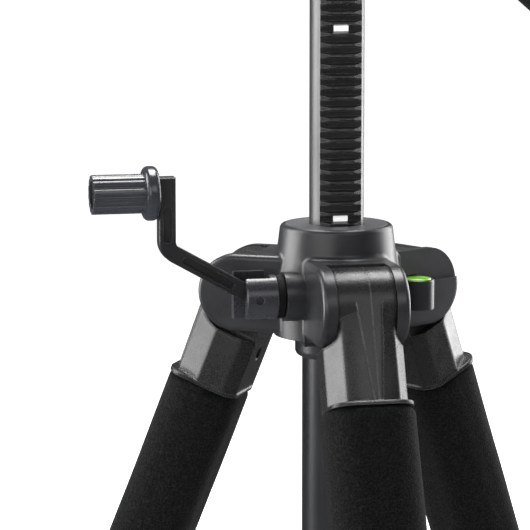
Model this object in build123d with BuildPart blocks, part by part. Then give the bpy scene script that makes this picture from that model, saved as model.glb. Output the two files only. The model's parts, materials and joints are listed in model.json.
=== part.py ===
"""Tripod with a crank-geared centre column, a mid-level brace and a pan and tilt head.

Millimetres. +Z is up, -Y is the direction of leg 1, and the crank is on the -X side.
The origin is the centre of the quick-release plate's top face, where the scope screw comes out.
"""

import os
from math import atan2, cos, degrees, pi, radians, sin, sqrt

from build123d import *

os.makedirs("parts", exist_ok=True)

# --- Driving dimensions -----------------------------------------------------------------------

LEG_AZIMUTHS = {1: 0, 2: 120, 3: 240}  # turn of each leg about +Z from leg 1

MODULE = 1.5  # of the rack and its pinion
TOOTH_PITCH = pi * MODULE
PINION_TEETH = 8
PINION_PITCH_R = MODULE * PINION_TEETH / 2

COLUMN_R = 12.25
COLUMN_EXPOSED = 132.0  # from the shoulder's top face to the head, at rest
COLUMN_LENGTH = 300.0
RACK_TIP_Y = -10.8
RACK_PITCH_Y = RACK_TIP_Y + MODULE
RACK_ROOT_Y = RACK_PITCH_Y + 1.25 * MODULE

SPREAD = 21.5  # leg angle from the vertical, at rest
HINGE_RADIUS = 42.0  # leg hinge axes from the column's axis
LEG_LENGTH = 500.0  # hinge to floor along a collapsed leg
TILT_ABOVE_HINGE = 222.0
PLATE_ABOVE_TILT = 32.0

# --- Levels and axes that follow from them ------------------------------------------------------

TILT_Z = -PLATE_ABOVE_TILT
HINGE_Z = TILT_Z - TILT_ABOVE_HINGE
FLOOR_Z = HINGE_Z - LEG_LENGTH * cos(radians(SPREAD))

SHOULDER_TOP_Z = HINGE_Z + 30
SHOULDER_BASE_Z = HINGE_Z - 20
LOWER_COLLAR_Z = HINGE_Z - 30
COLUMN_TOP_Z = SHOULDER_TOP_Z + COLUMN_EXPOSED
COLUMN_BASE_Z = COLUMN_TOP_Z - COLUMN_LENGTH
CRANK_Y = RACK_PITCH_Y - PINION_PITCH_R  # the crank's shaft runs along X here, at HINGE_Z

# Leg 1 lies along this plane's -Z: x is along the hinge, +y is the side that faces the column.
LEG = Plane(
    origin=(0, -HINGE_RADIUS, HINGE_Z),
    x_dir=(1, 0, 0),
    z_dir=(0, sin(radians(SPREAD)), cos(radians(SPREAD))),
)
LEG_SIDE = Plane(LEG.origin, x_dir=LEG.y_dir, z_dir=(1, 0, 0))  # x inwards, y up the leg
LEG_FRONT = Plane(LEG.origin, x_dir=LEG.x_dir, z_dir=-LEG.y_dir)  # faces outwards, y up the leg
LEG_UP = Axis(LEG.origin, LEG.z_dir)
LEG_INWARD = Axis(LEG.origin, LEG.y_dir)


def save(shape, name, azimuth=0):
    """Writes one sub-part, turned about the column's axis."""
    placed = shape.rotate(Axis.Z, azimuth) if azimuth else shape
    placed.label = name
    export_step(placed, f"parts/{name}.step")


def save_for_each_leg(shape, name):
    """Writes the three copies of a sub-part that every leg has."""
    for number, azimuth in LEG_AZIMUTHS.items():
        save(shape, f"leg_{number}_{name}", azimuth)


def along_x(x, y=CRANK_Y, z=HINGE_Z):
    """A plane square to X: sketch x is +Y and sketch y is +Z."""
    return Plane(origin=(x, y, z), x_dir=(0, 1, 0), z_dir=(1, 0, 0))


# --- Shoulder -----------------------------------------------------------------------------------

EAR_R = 17.5  # round ends of the ears that hold the legs
EAR_DROP = 1.0  # their centres are this far below the hinge axes
EAR_HALF_WIDTH = 19.5
EAR_EDGE_R = 2.4
SLOT_HALF_WIDTH = 13.3  # each leg's barrel turns in this
BARREL_R = 16.0
BARREL_HALF_WIDTH = 13.0
SLOT_R = BARREL_R + 0.5
HOOD_REACH = 7.0  # the roof over the barrel stops this far short of the hinge axis
DRUM_R = 28.0
DRUM_TOP_R = 25.2
DRUM_BLEND_R = 3.0
HINGE_PIN_R = 3.0
HINGE_PIN_HALF = 17.5  # the pins end blind inside the ears

TUBE_R = 15.3
TUBE_WALL = 2.0
TUBE_TOP_Z = HINGE_Z - 10
TUBE_BASE_Z = HINGE_Z - 262
COLUMN_BORE_R = COLUMN_R + 0.08

SHAFT_R = 3.0
SHAFT_BORE_R = SHAFT_R + 0.05
BOSS_R = 11.0
RING_R = 9.6
BOSS_END_X = -28.0
SHAFT_END_X = 12.0

CAP_R = 23.4
CAP_THICKNESS = 3.5

# Round spirit level on leg 2's ear, on the side towards leg 1. It is drawn beside leg 1 and turned.
LEVEL_R = 7.3
LEVEL_AT = (-EAR_HALF_WIDTH - 3.1, -29.5)
LEVEL_TOP_Z = HINGE_Z + 4.2
LEVEL_BASE_Z = HINGE_Z - 9.3
LEVEL_VIAL_R = 5.9
LEVEL_VIAL_DEPTH = 5.0
LEVEL_LEDGE = 2.6  # the ear's face is set back this far beside the level
LEVEL_PROUD = 2.5  # of that ledge

with BuildPart() as ear:
    with BuildSketch(Plane.YZ.offset(-EAR_HALF_WIDTH)):
        with Locations((-HINGE_RADIUS, HINGE_Z - EAR_DROP)):
            Circle(EAR_R)
            with Locations((0, -EAR_R)):
                Rectangle(HINGE_RADIUS, 2 * EAR_R, align=Align.MIN)
    extrude(amount=2 * EAR_HALF_WIDTH)
    sides = ear.faces().filter_by(Axis.X)
    fillet(sides.edges().filter_by(lambda e: e.center().Y < -1), radius=EAR_EDGE_R)

with BuildPart() as leg_slot:
    with BuildSketch(Plane.YZ.offset(-SLOT_HALF_WIDTH)):
        with Locations((-HINGE_RADIUS, HINGE_Z)):
            Circle(SLOT_R)
            Rectangle(2 * EAR_R, 2 * EAR_R + 4, align=(Align.MAX, Align.CENTER))
            Rectangle(HOOD_REACH, EAR_R + 2, align=(Align.MIN, Align.MIN))
            Rectangle(SLOT_R, 2 * EAR_R, align=(Align.MIN, Align.MAX))
    extrude(amount=2 * SLOT_HALF_WIDTH)

with BuildPart() as hinge_pin_hole:
    with BuildSketch(Plane.YZ.offset(-HINGE_PIN_HALF)):
        with Locations((-HINGE_RADIUS, HINGE_Z)):
            Circle(HINGE_PIN_R)
    extrude(amount=2 * HINGE_PIN_HALF)

with BuildPart() as level_seat:
    with BuildSketch(Plane.XY.offset(LEVEL_BASE_Z)):
        with Locations(LEVEL_AT):
            Circle(LEVEL_R)
    extrude(amount=LEVEL_TOP_Z - LEVEL_BASE_Z + 1)
    with BuildSketch(Plane.XY.offset(LEVEL_TOP_Z - LEVEL_PROUD)):
        with Locations((-EAR_HALF_WIDTH + LEVEL_LEDGE, LEVEL_AT[1] + LEVEL_R + 1)):
            Rectangle(2 * LEVEL_R, 2 * HINGE_RADIUS, align=Align.MAX)
    extrude(amount=2 * EAR_R)

with BuildPart() as shoulder_casting:
    with BuildSketch(Plane.XZ):
        with BuildLine():
            Polyline(
                (0, LOWER_COLLAR_Z),
                (18.5, LOWER_COLLAR_Z),
                (18.5, SHOULDER_BASE_Z),
                (DRUM_R, SHOULDER_BASE_Z),
                (DRUM_R, HINGE_Z + 8),
                (DRUM_TOP_R, SHOULDER_TOP_Z),
                (0, SHOULDER_TOP_Z),
                close=True,
            )
        make_face()
    revolve(axis=Axis.Z)
    round_edges = shoulder_casting.edges().filter_by(GeomType.CIRCLE)
    fillet(round_edges.group_by(Axis.Z)[-1], radius=2.2)
    fillet(round_edges.group_by(Axis.Z)[0], radius=3.0)
    for azimuth in LEG_AZIMUTHS.values():
        add(ear.part.rotate(Axis.Z, azimuth))
        fillet(shoulder_casting.edges(Select.NEW), radius=DRUM_BLEND_R)
    with BuildSketch(along_x(BOSS_END_X)):
        Circle(BOSS_R)
    extrude(amount=EAR_HALF_WIDTH)
    with BuildSketch(Plane.XY.offset(HINGE_Z - 22)):
        with Locations((-15, CRANK_Y)):
            Rectangle(9, 12)
    extrude(amount=12)
    for azimuth in LEG_AZIMUTHS.values():
        add(leg_slot.part.rotate(Axis.Z, azimuth), mode=Mode.SUBTRACT)
        add(hinge_pin_hole.part.rotate(Axis.Z, azimuth), mode=Mode.SUBTRACT)
    add(level_seat.part.rotate(Axis.Z, LEG_AZIMUTHS[2]), mode=Mode.SUBTRACT)
    # seat for the cap, the column's bore and the tube's socket
    with BuildSketch(Plane.XY.offset(SHOULDER_TOP_Z)):
        Circle(CAP_R)
    extrude(amount=-CAP_THICKNESS, mode=Mode.SUBTRACT)
    with BuildSketch(Plane.XY.offset(TUBE_TOP_Z)):
        Circle(COLUMN_BORE_R)
    extrude(amount=SHOULDER_TOP_Z - TUBE_TOP_Z, mode=Mode.SUBTRACT)
    with BuildSketch(Plane.XY.offset(LOWER_COLLAR_Z)):
        Circle(TUBE_R)
    extrude(amount=TUBE_TOP_Z - LOWER_COLLAR_Z, mode=Mode.SUBTRACT)
    # room for the friction ring and the crank's hub beside leg 3's ear
    with BuildSketch(along_x(BOSS_END_X)):
        Circle(RING_R + 0.6)
    extrude(amount=-20, mode=Mode.SUBTRACT)
    # chamber for the pinion, open to the bore, and the shaft's bearing hole
    with BuildSketch(along_x(-6)):
        Rectangle(16, 16.4)
    extrude(amount=12, mode=Mode.SUBTRACT)
    with BuildSketch(along_x(BOSS_END_X)):
        Circle(SHAFT_BORE_R)
    extrude(amount=SHAFT_END_X - BOSS_END_X + 0.5, mode=Mode.SUBTRACT)
save(shoulder_casting.part, "shoulder_casting")

with BuildPart() as column_cap:
    with BuildSketch(Plane.XY.offset(SHOULDER_TOP_Z - CAP_THICKNESS)):
        Circle(CAP_R)
        Circle(COLUMN_BORE_R, mode=Mode.SUBTRACT)
    extrude(amount=CAP_THICKNESS)
    rim = column_cap.edges().filter_by(GeomType.CIRCLE).group_by(Axis.Z)[-1]
    chamfer(rim.sort_by(SortBy.RADIUS)[-1], length=0.5)
save(column_cap.part, "column_cap")

with BuildPart() as outer_tube:
    with BuildSketch(Plane.XY.offset(TUBE_BASE_Z)):
        Circle(TUBE_R)
        Circle(TUBE_R - TUBE_WALL, mode=Mode.SUBTRACT)
    extrude(amount=TUBE_TOP_Z - TUBE_BASE_Z)
save(outer_tube.part, "outer_tube")

END_CAP_HEIGHT = 16.0
END_CAP_R = TUBE_R + 1.8
HOOK_EYE_R = 3.0

with BuildPart() as tube_end_cap:
    with BuildSketch(Plane.XY.offset(TUBE_BASE_Z - 4)):
        Circle(END_CAP_R)
    extrude(amount=END_CAP_HEIGHT)
    fillet(tube_end_cap.edges().group_by(Axis.Z)[0], radius=2)
    with BuildSketch(Plane.XY.offset(TUBE_BASE_Z)):
        Circle(TUBE_R)
    extrude(amount=END_CAP_HEIGHT, mode=Mode.SUBTRACT)
    # an eye for a ballast hook
    with BuildSketch(Plane.YZ.offset(-2.5)):
        with Locations((0, TUBE_BASE_Z - 10)):
            Circle(7)
            Rectangle(14, 8, align=(Align.CENTER, Align.MIN))
    extrude(amount=5)
    with BuildSketch(Plane.YZ.offset(-4)):
        with Locations((0, TUBE_BASE_Z - 10)):
            Circle(HOOK_EYE_R)
    extrude(amount=8, mode=Mode.SUBTRACT)
save(tube_end_cap.part, "tube_end_cap")

# The three hinge pins are alike, all in one node.
with BuildPart() as leg_hinge_pins:
    with BuildSketch(Plane.YZ.offset(0.1 - HINGE_PIN_HALF)):
        with Locations((-HINGE_RADIUS, HINGE_Z)):
            Circle(HINGE_PIN_R - 0.05)
    extrude(amount=2 * HINGE_PIN_HALF - 0.2)
    for azimuth in (LEG_AZIMUTHS[2], LEG_AZIMUTHS[3]):
        add(leg_hinge_pins.part.solids()[0].rotate(Axis.Z, azimuth))
save(leg_hinge_pins.part, "leg_hinge_pins")

with BuildPart() as level_housing:
    with BuildSketch(Plane.XY.offset(LEVEL_BASE_Z)):
        with Locations(LEVEL_AT):
            Circle(LEVEL_R)
    extrude(amount=LEVEL_TOP_Z - LEVEL_BASE_Z)
    fillet(level_housing.edges().group_by(Axis.Z)[-1], radius=0.6)
    with BuildSketch(Plane.XY.offset(LEVEL_TOP_Z)):
        with Locations(LEVEL_AT):
            Circle(LEVEL_VIAL_R)
    extrude(amount=-LEVEL_VIAL_DEPTH, mode=Mode.SUBTRACT)

with BuildPart() as level_vial:
    with BuildSketch(Plane.XY.offset(LEVEL_TOP_Z - LEVEL_VIAL_DEPTH)):
        with Locations(LEVEL_AT):
            Circle(LEVEL_VIAL_R)
    extrude(amount=LEVEL_VIAL_DEPTH + 0.4)
    fillet(level_vial.edges().group_by(Axis.Z)[-1], radius=0.4)

save(level_housing.part, "level_housing", LEG_AZIMUTHS[2])
save(level_vial.part, "level_vial", LEG_AZIMUTHS[2])

# --- Centre column ------------------------------------------------------------------------------

CHANNEL_HALF_WIDTH = 9.4
CHANNEL_FLOOR_Y = -5.5
RACK_FACE_HALF_WIDTH = 5.5
COLUMN_WALL = 2.45

with BuildPart() as column_tube:
    with BuildSketch(Plane.XY.offset(COLUMN_BASE_Z)):
        Circle(COLUMN_R)
        Circle(COLUMN_R - COLUMN_WALL, mode=Mode.SUBTRACT)
        with Locations((0, CHANNEL_FLOOR_Y)):
            Rectangle(
                2 * CHANNEL_HALF_WIDTH, COLUMN_R, align=(Align.CENTER, Align.MAX), mode=Mode.SUBTRACT
            )
    extrude(amount=COLUMN_LENGTH)
save(column_tube.part, "column_tube")

# The rack's crown is flat in the middle and falls away to the tube's edges.
RACK_EDGE_Y = -sqrt(COLUMN_R**2 - CHANNEL_HALF_WIDTH**2)
RACK_CREST = 0.8
RACK_GAP_FLOOR = 2.4
GAP_HALF_AT_TIP = (TOOTH_PITCH - RACK_CREST) / 2
GAP_HALF_AT_ROOT = RACK_GAP_FLOOR / 2
GAPS_BELOW = int((HINGE_Z - COLUMN_BASE_Z - 4) / TOOTH_PITCH)
GAPS_ABOVE = int((COLUMN_TOP_Z - HINGE_Z - 4) / TOOTH_PITCH)

with BuildPart() as gear_rack:
    with BuildSketch(Plane.XY.offset(COLUMN_BASE_Z)):
        with BuildLine():
            Polyline(
                (-CHANNEL_HALF_WIDTH, CHANNEL_FLOOR_Y),
                (-CHANNEL_HALF_WIDTH, RACK_EDGE_Y),
                (-RACK_FACE_HALF_WIDTH, RACK_TIP_Y),
                (RACK_FACE_HALF_WIDTH, RACK_TIP_Y),
                (CHANNEL_HALF_WIDTH, RACK_EDGE_Y),
                (CHANNEL_HALF_WIDTH, CHANNEL_FLOOR_Y),
                close=True,
            )
        make_face()
    extrude(amount=COLUMN_LENGTH)
    with BuildSketch(Plane.YZ.offset(-CHANNEL_HALF_WIDTH)):
        for gap in range(-GAPS_BELOW, GAPS_ABOVE + 1):
            with Locations((0, HINGE_Z + gap * TOOTH_PITCH)):
                Polygon(
                    (RACK_ROOT_Y, GAP_HALF_AT_ROOT),
                    (RACK_ROOT_Y, -GAP_HALF_AT_ROOT),
                    (RACK_TIP_Y, -GAP_HALF_AT_TIP),
                    (RACK_TIP_Y - 1, -GAP_HALF_AT_TIP),
                    (RACK_TIP_Y - 1, GAP_HALF_AT_TIP),
                    (RACK_TIP_Y, GAP_HALF_AT_TIP),
                    align=None,
                )
    extrude(amount=2 * CHANNEL_HALF_WIDTH, mode=Mode.SUBTRACT)
save(gear_rack.part, "gear_rack")

HEAD_BASE_R = 22.0
HEAD_BASE_HEIGHT = 14.0

with BuildPart() as head_base:
    with BuildSketch(Plane.XY.offset(COLUMN_TOP_Z)):
        Circle(HEAD_BASE_R)
    extrude(amount=HEAD_BASE_HEIGHT)
    fillet(head_base.edges().group_by(Axis.Z)[0], radius=4)
    chamfer(head_base.edges().group_by(Axis.Z)[-1], length=0.8)
    with BuildSketch(Plane.XY.offset(COLUMN_TOP_Z)):
        Circle(COLUMN_R - COLUMN_WALL - 0.1)
        with Locations((0, CHANNEL_FLOOR_Y)):
            Rectangle(
                2 * CHANNEL_HALF_WIDTH, COLUMN_R, align=(Align.CENTER, Align.MAX), mode=Mode.SUBTRACT
            )
    extrude(amount=-18)
save(head_base.part, "head_base")

# --- Crank --------------------------------------------------------------------------------------

HUB_R = 9.9
REAR_CHEEK_R = 12.8
REAR_CHEEK_TOP = 11.3
REAR_CHEEK_END_X = -49.4
REAR_CHEEK_THICKNESS = 4.6
HUB_START_X = -31.3
HUB_END_X = -45.8
CRANK_PIN_X = -40.3
CRANK_PIN_R = 1.9
FORK_HALF_GAP = 4.0
FORK_DEPTH_X = -34.6

PINION_TIP_R = PINION_PITCH_R + 1.3
PINION_ROOT_R = PINION_PITCH_R - 1.8
TOOTH_HALF = 0.88  # thin enough for eight straight-sided teeth to roll along the rack
PINION_HALF_WIDTH = 5.2

with BuildPart() as pinion_shaft:
    with BuildSketch(along_x(HUB_START_X - 2)):
        Circle(SHAFT_R)
    extrude(amount=SHAFT_END_X - HUB_START_X + 2)
    with BuildSketch(along_x(-PINION_HALF_WIDTH)):
        Circle(PINION_ROOT_R)
        with PolarLocations(0, PINION_TEETH):
            Polygon(
                (0, TOOTH_HALF),
                (PINION_PITCH_R, TOOTH_HALF),
                (PINION_TIP_R, TOOTH_HALF / 2),
                (PINION_TIP_R, -TOOTH_HALF / 2),
                (PINION_PITCH_R, -TOOTH_HALF),
                (0, -TOOTH_HALF),
                align=None,
            )
    extrude(amount=2 * PINION_HALF_WIDTH)
save(pinion_shaft.part, "pinion_shaft")

with BuildPart() as friction_ring:
    with BuildSketch(along_x(HUB_START_X)):
        Circle(RING_R)
        Circle(SHAFT_R, mode=Mode.SUBTRACT)
    extrude(amount=BOSS_END_X - 0.2 - HUB_START_X)
    rims = friction_ring.edges().filter_by(GeomType.CIRCLE)
    fillet(rims.filter_by(lambda e: e.radius > SHAFT_R + 1), radius=0.8)
save(friction_ring.part, "friction_ring")

with BuildPart() as crank_hub:
    with BuildSketch(along_x(HUB_END_X)):
        Circle(HUB_R)
    extrude(amount=HUB_START_X - HUB_END_X)
    fillet(crank_hub.edges().filter_by(GeomType.CIRCLE), radius=0.7)
    # the fork's rear cheek is longer than the front one and stands higher
    with BuildSketch(along_x(REAR_CHEEK_END_X)):
        Circle(REAR_CHEEK_R)
        with Locations((FORK_HALF_GAP, -HUB_R)):
            Rectangle(REAR_CHEEK_THICKNESS, HUB_R + REAR_CHEEK_TOP, align=Align.MIN, mode=Mode.INTERSECT)
    extrude(amount=FORK_DEPTH_X - 1 - REAR_CHEEK_END_X)
    with BuildSketch(Plane.XZ.offset(-CRANK_Y - FORK_HALF_GAP)):
        with Locations((FORK_DEPTH_X, HINGE_Z)):
            Rectangle(2 * HUB_R, 3 * HUB_R, align=(Align.MAX, Align.CENTER))
    extrude(amount=2 * FORK_HALF_GAP, mode=Mode.SUBTRACT)
    with BuildSketch(Plane.XZ.offset(-CRANK_Y - HUB_R - 1)):
        with Locations((CRANK_PIN_X, HINGE_Z)):
            Circle(CRANK_PIN_R)
    extrude(amount=2 * HUB_R + 2, mode=Mode.SUBTRACT)
    with BuildSketch(along_x(HUB_START_X - 2)):
        Circle(SHAFT_R)
    extrude(amount=2, mode=Mode.SUBTRACT)
save(crank_hub.part, "crank_hub")

PIN_HALF_LENGTH = 8.7

with BuildPart() as crank_pin:
    with BuildSketch(Plane.XZ.offset(-CRANK_Y - PIN_HALF_LENGTH)):
        with Locations((CRANK_PIN_X, HINGE_Z)):
            Circle(CRANK_PIN_R)
    extrude(amount=2 * PIN_HALF_LENGTH)
save(crank_pin.part, "crank_pin")

ARM_HALF_DEPTH = FORK_HALF_GAP - 0.1
ARM_WIDTH = 7.4
ARM_BEND = (-80.3, HINGE_Z + 22.5)
ARM_TOP = (ARM_BEND[0], HINGE_Z + 51.8)
KNOB_Z = HINGE_Z + 47.7
ARM_POCKET = 1.6
AXLE_R = 2.5
AXLE_END_X = -110.5

arm_slope = Vector(ARM_BEND[0] - CRANK_PIN_X, ARM_BEND[1] - HINGE_Z).normalized()

with BuildPart() as crank_arm:
    with BuildSketch(Plane.XZ.offset(-CRANK_Y - ARM_HALF_DEPTH)):
        with BuildLine() as arm_line:
            FilletPolyline((CRANK_PIN_X, HINGE_Z), ARM_BEND, ARM_TOP, radius=7)
        trace(arm_line.line, line_width=ARM_WIDTH)
        with Locations((CRANK_PIN_X, HINGE_Z)):
            Circle(4.4)
        with Locations(ARM_TOP):
            Rectangle(ARM_WIDTH, 6)
    extrude(amount=2 * ARM_HALF_DEPTH)
    faces = crank_arm.faces().filter_by(Axis.Y)
    fillet(faces.edges(), radius=0.7)
    # a pocket along each straight, on both faces
    for start in (ARM_HALF_DEPTH - ARM_POCKET, -ARM_HALF_DEPTH - 1):
        with BuildSketch(Plane.XZ.offset(-CRANK_Y + start)):
            with Locations((ARM_BEND[0], HINGE_Z + 34)):
                SlotOverall(16, 3.8, rotation=90)
            with Locations(
                (ARM_BEND[0] - 21 * arm_slope.X, ARM_BEND[1] - 21 * arm_slope.Y),
            ):
                SlotOverall(26, 3.8, rotation=degrees(atan2(arm_slope.Y, arm_slope.X)))
        extrude(amount=ARM_POCKET + 1, mode=Mode.SUBTRACT)
    with BuildSketch(Plane.XZ.offset(-CRANK_Y - HUB_R)):
        with Locations((CRANK_PIN_X, HINGE_Z)):
            Circle(CRANK_PIN_R + 0.05)
    extrude(amount=2 * HUB_R, mode=Mode.SUBTRACT)
    with BuildSketch(along_x(ARM_BEND[0] - ARM_WIDTH, z=KNOB_Z)):
        Circle(AXLE_R)
    extrude(amount=2 * ARM_WIDTH, mode=Mode.SUBTRACT)
save(crank_arm.part, "crank_arm")

KNOB_R = 8.7
KNOB_FLANGE_R = 12.0
KNOB_BARREL_LENGTH = 22.7
KNOB_START_X = ARM_BEND[0] - ARM_WIDTH / 2 - 0.3
KNOB_FLANGE_END_X = KNOB_START_X - 6.4
KNOB_END_X = KNOB_FLANGE_END_X - KNOB_BARREL_LENGTH
KNOB_FLUTES = 14

with BuildPart() as knob_axle:
    with BuildSketch(along_x(AXLE_END_X, z=KNOB_Z)):
        Circle(AXLE_R)
    extrude(amount=ARM_BEND[0] + ARM_WIDTH / 2 - AXLE_END_X)
    with BuildSketch(along_x(AXLE_END_X - 2, z=KNOB_Z)):
        Circle(4.2)
    extrude(amount=2)
    with BuildSketch(along_x(AXLE_END_X - 2, z=KNOB_Z)):
        Rectangle(0.9, 5.4)
        Rectangle(5.4, 0.9)
    extrude(amount=1.2, mode=Mode.SUBTRACT)
save(knob_axle.part, "knob_axle")

with BuildPart() as crank_knob:
    with BuildSketch(along_x(KNOB_END_X, z=KNOB_Z)):
        Circle(KNOB_R)
        with PolarLocations(KNOB_R + 0.9, KNOB_FLUTES):
            Circle(1.45, mode=Mode.SUBTRACT)
    extrude(amount=KNOB_FLANGE_END_X - KNOB_END_X)
    with BuildSketch(along_x(KNOB_FLANGE_END_X, z=KNOB_Z)):
        Circle(KNOB_FLANGE_R)
    extrude(amount=KNOB_START_X - KNOB_FLANGE_END_X)
    flange_edges = crank_knob.edges().filter_by(
        lambda e: e.geom_type == GeomType.CIRCLE and e.radius > KNOB_R + 1
    )
    fillet(flange_edges, radius=2.4)
    with BuildSketch(along_x(KNOB_END_X, z=KNOB_Z)):
        Circle(6.2)
    extrude(amount=AXLE_END_X - KNOB_END_X, mode=Mode.SUBTRACT)
    with BuildSketch(along_x(KNOB_END_X, z=KNOB_Z)):
        Circle(AXLE_R + 0.08)
    extrude(amount=KNOB_START_X - KNOB_END_X, mode=Mode.SUBTRACT)
save(crank_knob.part, "crank_knob")

# --- Legs ---------------------------------------------------------------------------------------

KNUCKLE_WIDTH = 36.0
KNUCKLE_DEPTH = 33.0
KNUCKLE_END = 46.0  # distances from the hinge down the leg
PANEL_HALF = 11.8  # the crowned outer face of the knuckle
PANEL_EDGE = 13.2
PANEL_CROWN = 14.8
RIB_TOP = (-5.0, 7.0)  # the outer rib's sides at the hinge and at the lower end
RIB_END = (-0.1, 3.6)
PARTING_AT = 1.8
PARTING_HALF = 0.15
PARTING_DEPTH = 0.3
RIM_END = 47.6
SCREW_DOWN = 27.0
SCREW_RECESS_R = 3.2
SCREW_RECESS_DEPTH = 2.5
SPIGOT_END = 76.0
SIDE_CLEAR_R = EAR_R + EAR_DROP + 1.2

UPPER_TUBE = (30.0, 27.0, 9.0)  # width, depth, corner radius
MIDDLE_TUBE = (26.2, 23.2, 7.1)
LOWER_TUBE = (22.4, 19.4, 5.2)
TUBE_SHELL = 1.5
SLIDE_GAP = 0.3

FOAM = (41.2, 35.0, 15.4)
FOAM_END = 225.0
UPPER_TUBE_END = 400.0
UPPER_LOCK = (386.0, 430.0)
MIDDLE_TUBE_SPAN = (80.0, 445.0)
LOWER_LOCK = (433.0, 472.0)
LOWER_TUBE_SPAN = (90.0, 488.0)
FOOT_TOP = 475.0
FOOT = (27.0, 24.0, 8.0)


def leg_outline(size, grow=0.0, mode=Mode.ADD):
    """The rounded outline of a leg tube, grown all round."""
    width, depth, corner = size
    RectangleRounded(width + 2 * grow, depth + 2 * grow, corner + grow, mode=mode)


with BuildPart() as knuckle:
    with BuildSketch(LEG.offset(-KNUCKLE_END)) as knuckle_section:
        with BuildLine():
            ThreePointArc((-PANEL_HALF, -PANEL_EDGE), (0, -PANEL_CROWN), (PANEL_HALF, -PANEL_EDGE))
            Polyline(
                (PANEL_HALF, -PANEL_EDGE),
                (KNUCKLE_WIDTH / 2, -1.5),
                (KNUCKLE_WIDTH / 2, KNUCKLE_DEPTH / 2 - 5),
                (KNUCKLE_WIDTH / 2 - 5, KNUCKLE_DEPTH / 2),
                (5 - KNUCKLE_WIDTH / 2, KNUCKLE_DEPTH / 2),
                (-KNUCKLE_WIDTH / 2, KNUCKLE_DEPTH / 2 - 5),
                (-KNUCKLE_WIDTH / 2, -1.5),
                (-PANEL_HALF, -PANEL_EDGE),
            )
        make_face()
        fillet(knuckle_section.vertices(), radius=1.2)
    extrude(amount=KNUCKLE_END - 4)
    # the shoulders are rounded off to clear the ears, whose lower edges are level when folded
    for start in (-KNUCKLE_WIDTH, BARREL_HALF_WIDTH):
        with BuildSketch(LEG_SIDE.offset(start)):
            Circle(SIDE_CLEAR_R)
            Rectangle(40, SIDE_CLEAR_R, align=(Align.MIN, Align.MAX))
        extrude(amount=KNUCKLE_WIDTH - BARREL_HALF_WIDTH, mode=Mode.SUBTRACT)
    with BuildSketch(LEG_SIDE.offset(-BARREL_HALF_WIDTH)):
        Circle(BARREL_R)
    extrude(amount=2 * BARREL_HALF_WIDTH)
    # tapering rib on the outer face
    with BuildSketch(LEG_FRONT.offset(10)):
        Polygon(
            (RIB_TOP[0], -1.5),
            (RIB_TOP[1], -1.5),
            (RIB_END[1], -KNUCKLE_END),
            (RIB_END[0], -KNUCKLE_END),
            align=None,
        )
    extrude(amount=BARREL_R - 0.1 - 10)
    # parting line round the barrel and down the rib
    with BuildSketch(LEG_SIDE.offset(PARTING_AT - PARTING_HALF)):
        Circle(BARREL_R)
        Rectangle(BARREL_R, KNUCKLE_END, align=Align.MAX)
        offset(amount=-PARTING_DEPTH, mode=Mode.SUBTRACT)
    extrude(amount=2 * PARTING_HALF, mode=Mode.SUBTRACT)
    with BuildSketch(LEG_SIDE.offset(-EAR_HALF_WIDTH)):
        Circle(HINGE_PIN_R)
    extrude(amount=2 * EAR_HALF_WIDTH, mode=Mode.SUBTRACT)
    with BuildSketch(LEG.offset(-RIM_END)):
        RectangleRounded(KNUCKLE_WIDTH + 1, KNUCKLE_DEPTH + 1, 9)
    extrude(amount=RIM_END - KNUCKLE_END)
    with BuildSketch(LEG.offset(-SPIGOT_END)):
        leg_outline(UPPER_TUBE, -TUBE_SHELL)
    extrude(amount=SPIGOT_END - RIM_END)
    # recess for a screw on the inner face
    with BuildSketch(Plane(LEG.origin, x_dir=LEG.x_dir, z_dir=LEG.y_dir).offset(KNUCKLE_DEPTH / 2)):
        with Locations((0, SCREW_DOWN)):
            Circle(SCREW_RECESS_R)
    extrude(amount=-SCREW_RECESS_DEPTH, mode=Mode.SUBTRACT)
save_for_each_leg(knuckle.part, "knuckle")

with BuildPart() as upper_tube:
    with BuildSketch(LEG.offset(-UPPER_TUBE_END)):
        leg_outline(UPPER_TUBE)
        leg_outline(UPPER_TUBE, -TUBE_SHELL, Mode.SUBTRACT)
    extrude(amount=UPPER_TUBE_END - RIM_END)
save_for_each_leg(upper_tube.part, "upper_tube")

with BuildPart() as foam_grip:
    with BuildSketch(LEG.offset(-FOAM_END)):
        leg_outline(FOAM)
        leg_outline(UPPER_TUBE, mode=Mode.SUBTRACT)
    extrude(amount=FOAM_END - RIM_END)
save_for_each_leg(foam_grip.part, "foam_grip")

with BuildPart() as middle_tube:
    with BuildSketch(LEG.offset(-MIDDLE_TUBE_SPAN[1])):
        leg_outline(MIDDLE_TUBE)
        leg_outline(MIDDLE_TUBE, -TUBE_SHELL, Mode.SUBTRACT)
    extrude(amount=MIDDLE_TUBE_SPAN[1] - MIDDLE_TUBE_SPAN[0])
save_for_each_leg(middle_tube.part, "middle_tube")

with BuildPart() as lower_tube:
    with BuildSketch(LEG.offset(-LOWER_TUBE_SPAN[1])):
        leg_outline(LOWER_TUBE)
        leg_outline(LOWER_TUBE, -TUBE_SHELL, Mode.SUBTRACT)
    extrude(amount=LOWER_TUBE_SPAN[1] - LOWER_TUBE_SPAN[0])
save_for_each_leg(lower_tube.part, "lower_tube")

with BuildPart() as foot:
    with BuildSketch(LEG.offset(-LEG_LENGTH - 20)):
        leg_outline(FOOT)
    extrude(amount=LEG_LENGTH + 20 - FOOT_TOP)
    fillet(foot.faces().sort_by(Axis.Z)[-1].edges(), radius=1.5)
    with BuildSketch(LEG.offset(-LOWER_TUBE_SPAN[1])):
        leg_outline(LOWER_TUBE)
    extrude(amount=LOWER_TUBE_SPAN[1] - FOOT_TOP, mode=Mode.SUBTRACT)
    split(bisect_by=Plane.XY.offset(FLOOR_Z), keep=Keep.TOP)
    chamfer(foot.faces().sort_by(Axis.Z)[0].edges(), length=1)
save_for_each_leg(foot.part, "foot")

# --- Leg locks ----------------------------------------------------------------------------------

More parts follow.
